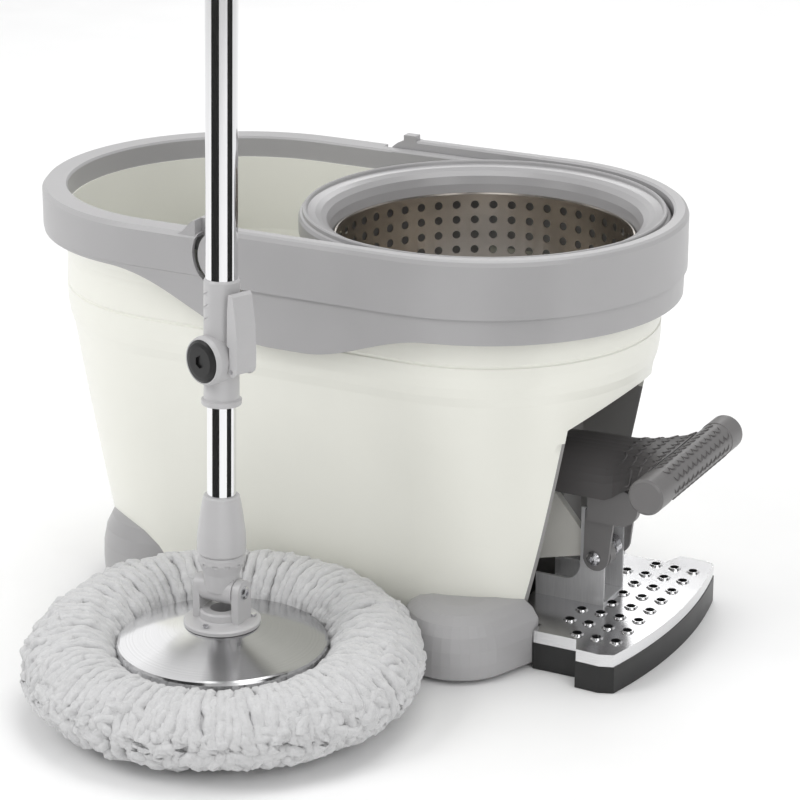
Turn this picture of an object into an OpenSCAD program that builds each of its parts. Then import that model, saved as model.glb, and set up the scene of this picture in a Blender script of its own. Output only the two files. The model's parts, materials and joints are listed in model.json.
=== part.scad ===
// Spin mop set: a twin-zone bucket with a pedal-driven spin basket, and a telescopic mop
// standing in front of it on its ring of fibre.
// Frame: the origin is on the floor under the middle of the bucket, +X points to the pedal,
// +Y to the back and +Z up. Millimetres.

/* [Bucket] */
// Distance between the centres of the bucket's two round ends
end_span = 202; // [190:1:250]
// Outer radius of the rim at each end
rim_r = 141; // [139:1:170]
// Height of the rim above the floor
rim_h = 300; // [292:1:380]
// Width of the rim's top face
rim_w = 18.5; // [17:0.5:20]
// Radius of the tub at its shoulder
tub_top_r = 125.3; // [124:0.1:126]
// Radius of the tub at its floor
tub_base_r = 88; // [80:1:92]
// Wall thickness of the tub
tub_wall = 2.8; // [2:0.1:3.4]
// Height of the tub's underside above the floor
tub_lift = 8; // [6:1:12]
// Thickness of the grey mouldings' walls
moulding_wall = 3; // [2.4:0.1:3.4]

/* [Spin basket] */
// Outer radius of the steel basket's wall
basket_r = 105; // [98:1:106]
// Depth of the basket from its rim to its floor
basket_depth = 78; // [70:1:82]
// Thickness of the basket's sheet
basket_sheet = 1; // [0.8:0.1:1.5]
// Diameter of the basket's drain holes
drain_d = 6; // [4:0.5:7]
// Number of drain holes in one row
drain_count = 48; // [36:4:52]
// Number of rows of drain holes
drain_rows = 6; // [4:1:6]

/* [Carry handle] */
// Height of the folded handle's band
handle_h = 40.7; // [36:0.1:44]
// Thickness of the band
handle_t = 10.7; // [8:0.1:12]
// Distance of the handle's pivot from the middle of the bucket, toward the washing end
handle_pivot_x = 27; // [22:1:34]

/* [Pedal] */
// Distance of the pedal's pivot from the basket's axis
pedal_reach = 98.4; // [94:0.1:112]
// Height of the pedal's pivot
pedal_pivot_z = 65.2; // [60:0.1:72]
// Distance of the foot roll's axis from the pivot, outward
roll_dx = 59.6; // [54:0.1:72]
// Height of the foot roll's axis above the pivot
roll_dz = 74.8; // [70:0.1:90]
// Radius of the foot roll
roll_r = 12.8; // [11:0.1:15]
// Length of the foot roll
roll_len = 148; // [130:1:160]
// Travel of the pedal in degrees
pedal_travel = 28; // [20:1:28]
// Radius of the pivot bolt's shank
bolt_r = 3; // [2.5:0.1:3.5]

/* [Stand] */
// Thickness of the black stand base
stand_h = 19.5; // [18:0.5:21]
// Height of the steel tread plate's skirt above the stand base
tread_rise = 9; // [7:0.5:9]
// Thickness of the tread plate's sheet
tread_sheet = 1.2; // [0.8:0.1:1.5]

/* [Mop] */
// Position of the mop's middle along the bucket
mop_x = 21.5; // [0:0.5:40]
// Distance of the mop's middle in front of the bucket's middle
mop_out = 233; // [233:1:280]
// Outer radius of the fibre ring
fibre_r = 133; // [115:1:133]
// Height of the fibre ring
fibre_h = 50; // [44:1:50]
// Radius of the steel head plate
plate_r = 71.5; // [66:0.5:76]
// Height of the tilting joint above the floor
tilt_z = 87.5; // [85:0.5:92]
// Lean of the standing pole toward the bucket in degrees
lean = 2.3; // [0:0.1:4]
// Radius of the lower tube
lower_r = 9.7; // [8.5:0.1:10.5]
// Wall thickness of both tubes
tube_wall = 0.8; // [0.6:0.1:1]
// Length of the upper tube
upper_len = 650; // [620:1:760]
// Travel of the telescope
telescope_travel = 400; // [300:10:400]
// Length of the lower tube that is left in the socket's side of the upper tube at full length
tube_overlap = 146; // [120:1:200]

/* [Fits] */
// Gap round a shaft or pin that turns in a hole
turn_gap = 0.05; // [0.03:0.01:0.1]
// Gap between two mouldings that move past each other
slide_gap = 0.6; // [0.4:0.1:0.8]

/* [Hidden] */
$fn = 96;

cream = [0.94, 0.94, 0.90];
grey = [0.64, 0.63, 0.64];
light_grey = [0.73, 0.72, 0.73];
dark_grey = [0.36, 0.35, 0.36];
black = [0.12, 0.12, 0.12];
steel = [0.78, 0.78, 0.80];
white = [0.93, 0.93, 0.94];

bx = end_span / 2;                       // the basket's axis
collar_in = rim_r - rim_w;               // inner radius of the rim
handle_in = rim_r + 1.5 - handle_t;      // inner radius of the handle's band
handle_seat_z = rim_h - 34;              // ledge that the folded handle lies on
handle_wall = handle_in - slide_gap;     // outer radius of the collar behind the handle
handle_end_r = handle_h / 2 - 0.15;
handle_pivot_z = handle_seat_z + 0.3 + handle_end_r;
pocket_r = handle_end_r + 5.3;           // pocket round the handle's end
hump_top = rim_h + 9.5;                  // raised shoulder of the rim beside the pocket
flare_z = rim_h - 32;                    // ledge of the tub under the collar
neck_top = rim_h - 16;                   // top of the tub's wall, inside the collar
neck_r = collar_in + moulding_wall;
cover_ledge = rim_h - 11;                // ledge that the basket cover sits on
cover_r = handle_wall - 0.7;
cover_in = basket_r + 2.2;
basket_top = rim_h - 14;
basket_floor = basket_top - basket_depth;
crease_z = rim_h - 73;
shoulder_z = rim_h - 88;
taper_top = rim_h - 110;

mouth_half = 67;                         // half width of the pedal's recess
mouth_x = bx + 49;                       // inner end of the recess's wide part
mouth_top = basket_floor - 15;           // crown of the recess's arch
cheek_top = mouth_top - 27;              // top of the cheeks in the tub's wall
tunnel_half = 35;
tunnel_x = bx - 36;
liner = 2;                               // wall of the pedal housing
arch_r = 138;

px = bx + pedal_reach;                   // the pedal's pivot
roll_x = px + roll_dx;
roll_z = pedal_pivot_z + roll_dz;
tread_top = stand_h + tread_rise;
neck_half = 79.2;                        // half width of the stand's neck, outside the tub
neck_x = bx + 79;                        // start of the neck's full width
bracket_half = 17.5;
bracket_sheet = 2;
arm_gap = 0.3;
tongue_t = 2.8;
block_t = 6.6;

layshaft_z = pedal_pivot_z + 56.8;       // gear shaft, under the basket's axis
layshaft_r = 4;
gear_reach = norm([pedal_reach, layshaft_z - pedal_pivot_z]);
sector_teeth = 96;                       // teeth on the sector's full circle
pinion_teeth = 12;
gear_module = 2 * gear_reach / (sector_teeth + pinion_teeth);
sector_r = gear_module * sector_teeth / 2;
pinion_r = gear_module * pinion_teeth / 2;
mesh_angle = 180 - atan((layshaft_z - pedal_pivot_z) / pedal_reach);
crown_teeth = 24;
crown_r = 21;
spindle_teeth = 12;
spindle_gear_r = crown_r * spindle_teeth / crown_teeth;
spindle_r = 5;
bridge_z = layshaft_z + 28;
spindle_bottom = layshaft_z + 16.5;

mop_y = -mop_out;
disc_bottom = fibre_h - 10;
plate_rim_z = fibre_h + 1;
hub_z = 63;
socket_seam = tilt_z + 25.5;
socket_top = socket_seam + 41;
lower_len = telescope_travel + tube_overlap;
upper_gap = 0.1;
upper_in = lower_r + upper_gap;
upper_r = upper_in + tube_wall;
clamp_z = 217;                           // lower end of the clamp, with the mop collapsed
clamp_h = 85;
upper_z = clamp_z + 8;
sleeve_r = upper_r + 1.2;
boss_turn = -106.9;                      // direction of the clamp's round boss
cap_r = 14;
lever_axis_r = 18.5;
lever_axis_z = clamp_z + 27;

// ---------------------------------------------------------------- shared shapes

// Sweeps a profile (radius, height) round an outline with two round ends
module stadium_sweep(half) {
    translate([half, 0, 0]) rotate([0, 0, -90]) rotate_extrude(angle = 180) children();
    translate([-half, 0, 0]) rotate([0, 0, 90]) rotate_extrude(angle = 180) children();
    for (turn = [0, 180])
        rotate([0, 0, turn]) translate([-half, 0, 0]) rotate([90, 0, 90])
            linear_extrude(2 * half) children();
}

// Plate in the X-Z plane between two values of y
module side_plate(y0, y1) {
    translate([0, y1, 0]) rotate([90, 0, 0]) linear_extrude(y1 - y0) children();
}

// Same shape on the front and on the back of the set
module both_sides() {
    children();
    mirror([0, 1, 0]) children();
}

// Cylinder along Y, centred on x and z
module cross_pin(x, z, r, y0, y1) {
    translate([x, y1, z]) rotate([90, 0, 0]) cylinder(r = r, h = y1 - y0);
}

// Ring or tube
module tube(r, hole, h) {
    difference() {
        cylinder(r = r, h = h);
        translate([0, 0, -1]) cylinder(r = hole, h = h + 2);
    }
}

// Solid skinned over closed sections that have the same number of points
module skin(sections) {
    n = len(sections[0]);
    m = len(sections);
    points = [for (s = sections) each s];
    sides = [for (j = [0:m - 2], i = [0:n - 1]) each
        [[j * n + i, (j + 1) * n + i, j * n + (i + 1) % n],
         [j * n + (i + 1) % n, (j + 1) * n + i, (j + 1) * n + (i + 1) % n]]];
    caps = [[for (i = [0:n - 1]) i], [for (i = [n - 1:-1:0]) (m - 1) * n + i]];
    polyhedron(points, concat(sides, caps), convexity = 8);
}

// Outline of a spur gear, or of a sector of one between two angles
module gear_outline(teeth, module_mm, from, to, clearance) {
    pitch_r = module_mm * teeth / 2;
    step = 360 / teeth;
    for (a = [from:step:to - 0.01])
        rotate(a) polygon([
            [pitch_r - 1.3 * module_mm, -0.95 * module_mm],
            [pitch_r, -0.72 * module_mm + clearance],
            [pitch_r + 0.85 * module_mm, -0.3 * module_mm],
            [pitch_r + 0.85 * module_mm, 0.3 * module_mm],
            [pitch_r, 0.72 * module_mm - clearance],
            [pitch_r - 1.3 * module_mm, 0.95 * module_mm]]);
}

// ---------------------------------------------------------------- bucket

// Radius of the tapering part of the tub at height z
function tub_r(z) =
    tub_base_r + (tub_top_r - 2 - tub_base_r) * pow((z - tub_lift) / (shoulder_z - tub_lift), 0.85);
taper_steps = 9;
taper_z = [for (i = [0:taper_steps]) tub_lift + (taper_top - tub_lift) * pow(i / taper_steps, 1.2)];

// Outline of the tub's outside, up to its neck
tub_outside = concat(
    [[0, tub_lift]],
    [for (z = taper_z) [tub_r(z), z]],
    [[tub_top_r - 4, taper_top + 8], [tub_top_r - 1.8, taper_top + 15], [tub_top_r - 0.5, shoulder_z],
     [tub_top_r, shoulder_z + 8], [tub_top_r, crease_z - 0.6], [tub_top_r - 0.9, crease_z + 0.2],
     [tub_top_r - 0.9, crease_z + 0.9], [tub_top_r - 0.2, crease_z + 2],
     [tub_top_r - 1, flare_z - 21], [tub_top_r - 0.3, flare_z - 15], [tub_top_r + 2, flare_z - 9],
     [rim_r - 9.2, flare_z - 3], [rim_r - 6.8, flare_z], [neck_r, flare_z],
     [neck_r, neck_top], [0, neck_top]]);

module tub_solid() {
    stadium_sweep(bx) polygon(tub_outside);
}

module tub_inside() {
    floor_z = tub_lift + tub_wall;
    stadium_sweep(bx) polygon(concat(
        [[0, floor_z]],
        [for (z = taper_z) if (z > floor_z + 4) [tub_r(z) - tub_wall - 2 * (1 - min(1, z / 40)), z]],
        [[tub_top_r - tub_wall - 2.5, shoulder_z], [collar_in - 1, crease_z], [collar_in - 1, neck_top + 1],
         [0, neck_top + 1]]));
}

// Arched opening of the recess, seen from the pedal's end, grown by a margin
module mouth_outline(margin) {
    intersection() {
        translate([-mouth_half - margin, -1]) square([2 * (mouth_half + margin), mouth_top + margin + 1]);
        translate([0, mouth_top + margin - arch_r]) circle(r = arch_r, $fn = 180);
    }
}

module mouth_block(x, margin, length) {
    translate([x, 0, 0]) rotate([90, 0, 90]) linear_extrude(length) mouth_outline(margin);
}

module tunnel_block(margin) {
    translate([tunnel_x - margin, -tunnel_half - margin, -1])
        cube([mouth_x - tunnel_x + margin + 1, 2 * (tunnel_half + margin), mouth_top - 5 + margin + 1]);
}

// Recess in the tub's wall: the housing's cheeks come flush through it, and its arch stops inside
module shell_mouth() translate([mouth_x - liner, 0, 0]) rotate([90, 0, 90]) linear_extrude(200) {
    mouth_outline(0);
    intersection() {
        mouth_outline(liner);
        translate([-mouth_half - liner, -1]) square([2 * (mouth_half + liner), cheek_top + 1]);
    }
}

module bucket_shell() color(cream) difference() {
    tub_solid();
    tub_inside();
    shell_mouth();
    translate([tunnel_x - liner, -tunnel_half - liner, -1])
        cube([mouth_x - tunnel_x + 10, 2 * (tunnel_half + liner), tub_lift + 20]);
    // flat ledge under the handle's seat
    intersection() {
        stadium_sweep(bx) translate([neck_r - 0.2, handle_seat_z - 3]) square([30, 30]);
        slab(-handle_pivot_x - 10.8, 300);
    }
}

module pedal_housing() color(grey) difference() {
    union() {
        intersection() {
            mouth_block(mouth_x - liner, liner, 200);
            union() {
                tub_inside();
                intersection() {
                    tub_solid();
                    translate([mouth_x, -200, -1]) cube([200, 400, cheek_top + 1]);
                }
                translate([mouth_x - liner, -mouth_half - liner, tub_lift])
                    cube([neck_x - 0.6 - mouth_x + liner, 2 * (mouth_half + liner), tub_wall]);
            }
        }
        intersection() {
            tunnel_block(liner);
            translate([0, -100, tub_lift]) cube([300, 200, 400]);
        }
        translate([bx, 0, mouth_top - 8]) cylinder(r = 16, h = 10.5);
    }
    mouth_block(mouth_x, 0, 200);
    tunnel_block(0);
    translate([bx, 0, mouth_top - 20]) cylinder(r = 9, h = 40);
}

// Height of the collar's lower edge along the bucket: it dips in front of the handle's pivot
function dip(x) =
    let (low = rim_h - 73, right = rim_h - 52, left = rim_h - 31.7)
    x > 19 ? low + (right - low) * (1 - cos(min(1, (x - 31) / 96 > 0 ? (x - 31) / 96 : 0) * 180)) / 2
           : low + (left - low) * (1 - cos(min(1, (7 - x) / 130 > 0 ? (7 - x) / 130 : 0) * 180)) / 2;
collar_end = bx + rim_r;

module collar_skirt(top) intersection() {
    stadium_sweep(bx) polygon([
        [rim_r - 4.5, rim_h - 76], [rim_r - 1.6, rim_h - 76], [rim_r - 0.5, handle_seat_z - 2],
        [rim_r - 0.5, top], [rim_r - 4.5, top]]);
    side_plate(-200, 200) polygon(concat(
        [for (x = [-collar_end:5:collar_end]) [x, dip(x)]],
        [[collar_end + 1, dip(collar_end)], [collar_end + 1, rim_h], [-collar_end - 1, rim_h],
         [-collar_end - 1, dip(-collar_end)]]));
}

// Rim of the washing end: a channel section over the tub's flare
module collar_wash_profile() polygon([
    [collar_in, neck_top], [collar_in, rim_h - 1.5], [collar_in + 1.2, rim_h], [rim_r - 2.5, rim_h],
    [rim_r, rim_h - 3], [rim_r, flare_z + 3], [rim_r - 2.5, flare_z + 0.3], [rim_r - 6.5, flare_z + 0.3],
    [rim_r - 3, flare_z + 4], [rim_r - 3, rim_h - 3], [neck_r, rim_h - 3], [neck_r, neck_top]]);

// Rim under the handle: an inner wall of full height and the handle's seat
module collar_seat_profile(top) polygon([
    [collar_in, neck_top], [collar_in, top - 1], [collar_in + 1, top], [handle_wall, top],
    [handle_wall, handle_seat_z], [rim_r - 0.5, handle_seat_z], [rim_r - 0.5, handle_seat_z - 3],
    [handle_wall - 3, handle_seat_z - 3], [handle_wall - 3, top - 3], [neck_r, top - 3],
    [neck_r, neck_top]]);

module slab(x0, x1) {
    translate([x0, -300, 0]) cube([x1 - x0, 600, 500]);
}

slot_x = -handle_pivot_x - pocket_r;     // washing-end side of the handle's pocket
step_x = bx - sqrt(pow(cover_r + 1, 2) - pow(collar_in, 2));

// Shoulder on the front rim, with a ramp up to it on the washing side
module collar_hump() {
    ramp = [for (i = [0:6]) [slot_x - 12 + 14 * i / 6, rim_h - 1 + 5.25 * (1 - cos(i * 30)) * (hump_top - rim_h + 1) / 10.5]];
    mirror([0, 1, 0]) {
        side_plate(collar_in + 0.4, handle_wall)
            polygon(concat(ramp, [[slot_x + 14.5, hump_top], [slot_x + 15.5, hump_top - 1], [slot_x + 15.5, rim_h - 2],
                                  [slot_x - 12, rim_h - 2]]));
        side_plate(handle_wall - 1, rim_r - 1)
            polygon(concat(ramp, [[slot_x + 2, rim_h - 2], [slot_x - 12, rim_h - 2]]));
    }
}

module rim_collar() color(grey) difference() {
    union() {
        intersection() {
            stadium_sweep(bx) collar_wash_profile();
            slab(-300, -handle_pivot_x - 10);
        }
        intersection() {
            stadium_sweep(bx) collar_seat_profile(rim_h);
            slab(-handle_pivot_x - 10.5, step_x);
        }
        intersection() {
            stadium_sweep(bx) collar_seat_profile(cover_ledge);
            slab(step_x - 0.5, 300);
        }
        intersection() {
            collar_skirt(handle_seat_z);
            slab(-bx - rim_r, 300);
        }
        intersection() {
            collar_skirt(flare_z + 5);
            slab(-bx - rim_r, -handle_pivot_x - 14);
        }
        collar_hump();
        // boss behind each handle pin
        both_sides() cross_pin(-handle_pivot_x, handle_pivot_z, 9, neck_r + 0.1, handle_wall - 1);
    }
    both_sides() {
        cross_pin(-handle_pivot_x, handle_pivot_z, 4, neck_r - 1, rim_r + 5);
        cross_pin(-handle_pivot_x, handle_pivot_z, pocket_r, handle_wall, rim_r + 5);
        translate([slot_x + 6, handle_wall, handle_pivot_z]) cube([pocket_r, 20, pocket_r]);
    }
}

module basket_cover() color(light_grey) {
    low = cover_ledge;
    translate([bx, 0, 0]) {
        rotate_extrude() polygon([
            [cover_r, low], [cover_r, low + 10], [cover_r - 1.2, low + 12.4], [cover_r - 2.7, low + 13.2],
            [cover_r - 3.1, low + 15.4], [cover_r - 4, low + 16.2], [cover_r - 5.1, low + 16.2],
            [cover_r - 5.9, low + 15.4], [cover_r - 6.4, low + 13.8], [cover_r - 12, low + 12.8],
            [cover_in + 7.5, low + 11], [cover_in + 3.6, low + 8], [cover_in + 1.4, low + 2.5],
            [cover_in + 0.2, low - 4], [cover_in, low - 7.5], [cover_in + 2.6, low - 7.5],
            [cover_in + 3.2, low - 3], [cover_in + 5, low + 2], [cover_in + 8, low + 6.5],
            [cover_r - 12, low + 9.4], [cover_r - 6, low + 10.8], [cover_r - 3.4, low + 9.6],
            [cover_r - 3, low]]);
        // curtain that parts the washing side from the spinning side
        rotate([0, 0, 114]) rotate_extrude(angle = 132)
            translate([cover_r - 6, basket_floor + 6]) square([3, low + 12 - basket_floor - 6]);
    }
}

module splash_guard() color(grey) intersection() {
    stadium_sweep(bx) translate([collar_in - 4, rim_h - 62]) square([2.6, 46]);
    slab(-handle_pivot_x - 8, 300);
}

// Rounded dome that a foot is made of
module foot_dome(x, y, r, h) translate([x, y, 0]) rotate_extrude($fn = 40) polygon([
    [0, 3], [r - 1.5, 3], [r - 0.4, 4.5], [r + 0.4, 0.28 * h], [r, 0.48 * h], [r - 2.4, 0.68 * h],
    [r - 7, 0.83 * h], [r - 14, 0.93 * h], [r - 24, 0.99 * h], [0, h]]);

module pad_recess(f) for (s = [-1, 1]) translate([f.x + s * f[2] * 0.45, f.y, 2]) cylinder(r = 8, h = 3);

right_foot = [bx + 28, 91, 43, 50];
right_toe = [bx + 49, 66, 32, 50];
left_foot = [-bx - 33, 50, 50, 61];

module foot_right() color(grey) difference() {
    hull() {
        foot_dome(right_foot.x, right_foot.y, right_foot[2], right_foot[3]);
        foot_dome(right_toe.x, right_toe.y, right_toe[2], right_toe[3]);
    }
    tub_solid();
    translate([bx, -mouth_half - liner, -1]) cube([200, 2 * (mouth_half + liner), 200]);
    translate([neck_x - 0.6, -neck_half - 0.6, -1]) cube([200, 2 * neck_half + 1.2, 200]);
    pad_recess(right_foot);
}

module foot_left() color(grey) difference() {
    foot_dome(left_foot.x, left_foot.y, left_foot[2], left_foot[3]);
    tub_solid();
    pad_recess(left_foot);
}

module foot_front_right() mirror([0, 1, 0]) foot_right();
module foot_rear_right() foot_right();
module foot_front_left() mirror([0, 1, 0]) foot_left();
module foot_rear_left() foot_left();

// Rubber pads pressed into the feet, two to a foot
module foot_pads() color(black) both_sides()
    for (f = [right_foot, left_foot], s = [-1, 1])
        translate([f.x + s * f[2] * 0.45, f.y, 0]) cylinder(r = 8, h = 5);

module handle_pins() color(steel) both_sides() {
    cross_pin(-handle_pivot_x, handle_pivot_z, 4, neck_r + 0.2, rim_r + 3);
    cross_pin(-handle_pivot_x, handle_pivot_z, 7.5, rim_r + 1.7, rim_r + 3.6);
}

// ---------------------------------------------------------------- carry handle

module handle_profile() polygon([
    [handle_in, handle_seat_z + 0.3], [rim_r + 1.5, handle_seat_z + 0.3],
    [rim_r + 1.5, handle_seat_z + handle_h - 4], [rim_r + 0.3, handle_seat_z + handle_h - 1.2],
    [rim_r - 1.5, handle_seat_z + handle_h], [handle_in + 1.6, handle_seat_z + handle_h],
    [handle_in, handle_seat_z + handle_h - 1.4]]);

module carry_handle() color(grey) difference() {
    union() {
        intersection() {
            stadium_sweep(bx) handle_profile();
            slab(-handle_pivot_x, 300);
        }
        both_sides() {
            cross_pin(-handle_pivot_x, handle_pivot_z, handle_end_r, handle_in, rim_r + 1.5);
            // small pad over each pivot
            translate([-handle_pivot_x - 5, handle_in, handle_pivot_z]) cube([10, handle_t - 3, handle_end_r + 3.8]);
        }
    }
    both_sides() cross_pin(-handle_pivot_x, handle_pivot_z, 4 + turn_gap, handle_in - 1, rim_r + 5);
}

// ---------------------------------------------------------------- stand and bracket

// Outline of the stand where a foot treads on it, less a margin all round
module stand_outline(margin) {
    corner = [bx + 141, neck_half + 15.8];
    intersection() {
        union() {
            translate([mouth_x + 1, -mouth_half + 0.8 + margin])
                square([bx + 118 - mouth_x, 2 * (mouth_half - 0.8 - margin)]);
            translate([neck_x + margin, -neck_half + margin])
                square([bx + 118 - neck_x, 2 * (neck_half - margin)]);
            polygon([
                [bx + 112, -neck_half + margin], [bx + 118 + margin, -corner.y + 1 + margin],
                [bx + 136, -corner.y + margin], [corner.x + 5 - margin, -corner.y + 4],
                [corner.x + 8.5 - margin, -corner.y + 10], [corner.x + 30, 0],
                [corner.x + 8.5 - margin, corner.y - 10], [corner.x + 5 - margin, corner.y - 4],
                [bx + 136, corner.y - margin], [bx + 118 + margin, corner.y - 1 - margin],
                [bx + 112, neck_half - margin]]);
        }
        translate([bx - 245, 0]) circle(r = 401.5 - margin, $fn = 360);
    }
}

module at_stand_screws() for (x = [-11, 11], y = [-27, 27]) translate([bx + x, y, 0]) children();

module stand_base() color(black) difference() {
    union() {
        linear_extrude(stand_h) stand_outline(0);
        translate([tunnel_x + 1, -tunnel_half + 0.5, 0])
            cube([mouth_x - tunnel_x + 1, 2 * tunnel_half - 1, stand_h]);
        translate([-40, -60, 0]) cube([mouth_x + 20, 120, tub_lift]);
    }
    at_stand_screws() translate([0, 0, stand_h - 6]) cylinder(r = 1.8, h = 8);
}

tread_pitch = [14.6, 20];

module tread_grid() {
    for (i = [0:4], j = [0:7])
        let (x = bx + 94 + i * tread_pitch.x, y = (j - 3.5) * tread_pitch.y)
        if (norm([x - bx + 245, y]) < 395 && (abs(y) < 66 || i > 0) && (abs(y) > 22 || i > 0))
            translate([x, y, 0]) children();
}

module tread_plate() color(steel) difference() {
    union() {
        difference() {
            translate([0, 0, stand_h]) linear_extrude(tread_rise) stand_outline(0.4);
            translate([0, 0, stand_h - 1]) linear_extrude(tread_rise + 1 - tread_sheet)
                stand_outline(0.4 + tread_sheet);
        }
        translate([0, 0, tread_top - 0.2]) tread_grid() cylinder(r1 = 5, r2 = 4.1, h = 1.4);
    }
    translate([0, 0, tread_top - 3]) tread_grid() cylinder(r = 3.3, h = 6, $fn = 24);
    // notch where the skirt turns round the neck's corner
    both_sides() translate([bx + 114, neck_half - 4, stand_h - 1]) cube([3, 20, tread_rise - 3]);
}

// Bent steel bracket: two uprights that carry the pedal, joined by a foot on the tread plate
module bracket_side() difference() {
    union() {
        translate([px - 11.8, tread_top]) square([18.4, pedal_pivot_z + 36 - tread_top]);
        translate([bx + 52, tread_top]) square([px - bx - 52, 16]);
        translate([px - 24, tread_top]) square([20, 29]);
    }
    translate([px - 24.5, tread_top + 28.7]) circle(r = 12.7);
}

module pedal_bracket() color(steel) difference() {
    union() {
        both_sides() side_plate(bracket_half - bracket_sheet, bracket_half) bracket_side();
        translate([bx + 52, -bracket_half, tread_top]) cube([px + 6.6 - bx - 52, 2 * bracket_half, bracket_sheet]);
    }
    cross_pin(px, pedal_pivot_z, bolt_r, -50, 50);
}

module pedal_bolt() color(steel) {
    out = bracket_half + arm_gap + tongue_t + 0.3;
    cross_pin(px, pedal_pivot_z, bolt_r, -out - 1, out + 5);
    translate([px, -out, pedal_pivot_z]) rotate([90, 0, 0]) difference() {
        rotate_extrude() polygon([[0, 0], [5.2, 0], [5.2, 1.4], [4.2, 2.6], [2, 3.4], [0, 3.6]]);
        translate([0, 0, 1.6]) cylinder(r = 2.2, h = 3, $fn = 6);
    }
    translate([px, out + 4.2, pedal_pivot_z]) rotate([90, 0, 0]) cylinder(r = 5.8, h = 4.2, $fn = 6);
}

// Torsion spring round the bolt, with one leg on the bracket's foot and one under the frame
module pedal_spring() color(steel) {
    coil_r = 7.4;
    wire_r = 0.8;
    turns = 4;
    ring_count = 56;
    path = [for (i = [0:ring_count])
        let (a = -90 + 360 * turns * i / ring_count)
        [px + coil_r * cos(a), 3 + 9 * i / ring_count, pedal_pivot_z + coil_r * sin(a), a]];
    skin([for (p = path) [for (k = [0:7])
        let (b = k * 45, w = coil_r + wire_r * cos(b))
        [px + w * cos(p[3]), p.y + wire_r * sin(b), pedal_pivot_z + w * sin(p[3])]]]);
}

// Two plates and a bridge that carry the gear shafts under the basket
module gearbox_frame() color(dark_grey) difference() {
    union() {
        for (y = [-23.4, 20.4])
            translate([bx - 17, y, stand_h]) cube([34, 3, bridge_z + 3 - stand_h]);
        translate([bx - 17, -23.4, bridge_z]) cube([34, 46.8, 3]);
        translate([bx, 0, bridge_z]) cylinder(r = 9, h = 8);
        for (y = [-30, 20.4])
            translate([bx - 17, y, stand_h]) cube([34, 9.6, 3]);
    }
    cross_pin(bx, layshaft_z, layshaft_r + turn_gap, -40, 40);
    translate([bx, 0, bridge_z - 1]) cylinder(r = spindle_r + turn_gap, h = 20);
    at_stand_screws() translate([0, 0, stand_h - 1]) cylinder(r = 1.8, h = 5);
}

module spindle_bush() color(white) translate([bx, 0, mouth_top - 7]) {
    tube(9, spindle_r + turn_gap, 9.5);
    translate([0, 0, 9.5]) tube(12, spindle_r + turn_gap, 1.5);
}

// Screws that hold the gearbox to the stand
module stand_screws() color(steel) at_stand_screws() {
    translate([0, 0, stand_h - 6]) cylinder(r = 1.8, h = 9);
    translate([0, 0, stand_h + 3]) cylinder(r = 3.2, h = 2);
}

// ---------------------------------------------------------------- pedal

frame_in = bracket_half + arm_gap;
hood_half = frame_in + block_t + 3.2;
hood_start = px - 49;
hood_end = roll_x - 3;
hood_crest = roll_z + 9;
hood_edge = pedal_pivot_z + 48;

module tongue_outline() difference() {
    union() {
        translate([px + 1, pedal_pivot_z]) circle(r = 9.4);
        polygon([[px - 8.4, pedal_pivot_z - 2], [px - 7.6, pedal_pivot_z + 36], [px + 14.6, pedal_pivot_z + 36],
                 [px + 13.6, pedal_pivot_z + 26], [px + 10.4, pedal_pivot_z - 2]]);
    }
    translate([px, pedal_pivot_z]) circle(r = bolt_r + turn_gap);
}

module pedal_frame() color(dark_grey) {
    both_sides() {
        side_plate(frame_in, frame_in + tongue_t) tongue_outline();
        side_plate(frame_in, frame_in + block_t) {
            translate([px - 4.6, pedal_pivot_z + 29]) square([26, 26]);
            translate([px + 20, pedal_pivot_z + 42.5]) circle(r = 13.5);
        }
    }
    translate([px - 4, -frame_in - 1, pedal_pivot_z + 38]) cube([26, 2 * frame_in + 2, 12]);
    // hub of the gear sector
    difference() {
        union() {
            cross_pin(px, pedal_pivot_z, 10, -14, -5);
            translate([px - 4, -14, pedal_pivot_z]) cube([8, 9, 40]);
        }
        cross_pin(px, pedal_pivot_z, bolt_r + turn_gap, -20, 0);
    }
}

// Half width, crest and edge height of the hood at distance x
function hood_s(x) = max(0, (x - px - 13) / (hood_end - px - 13));
function hood_w(x) = hood_half + (roll_len / 2 - 10 - hood_half) * pow(hood_s(x), 2.1);
function hood_top(x) = hood_crest - 3 * pow(1 - min(1, (x - hood_start) / 60), 2) + 1.6 * hood_s(x);
function hood_low(x) = hood_edge + (roll_z + 1 - hood_edge) * pow(hood_s(x), 0.8);

arch_steps = 20;
function arch(x, w, low, top) = [for (i = [0:arch_steps])
    let (a = 180 * i / arch_steps, c = cos(a), s = sin(a))
    [x, w * sign(c) * pow(abs(c), 0.75), low + (top - low) * pow(s, 0.6)]];
function hood_section(x) =
    let (outer = arch(x, hood_w(x), hood_low(x), hood_top(x)),
         inner = arch(x, hood_w(x) - 3, hood_low(x), hood_top(x) - 3.4))
    concat(outer, [for (i = [arch_steps:-1:0]) inner[i]]);

module pedal_hood() color(dark_grey) difference() {
    skin([for (i = [0:18]) hood_section(hood_start + (hood_end - hood_start) * i / 18)]);
    cross_pin(roll_x, roll_z, roll_r, -200, 200);
    // clear of the frame's blocks
    both_sides() side_plate(frame_in - 2, frame_in + block_t) {
        translate([px - 4.6, pedal_pivot_z + 29]) square([26, 26]);
        translate([px + 20, pedal_pivot_z + 42.5]) circle(r = 13.5);
    }
}

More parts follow.
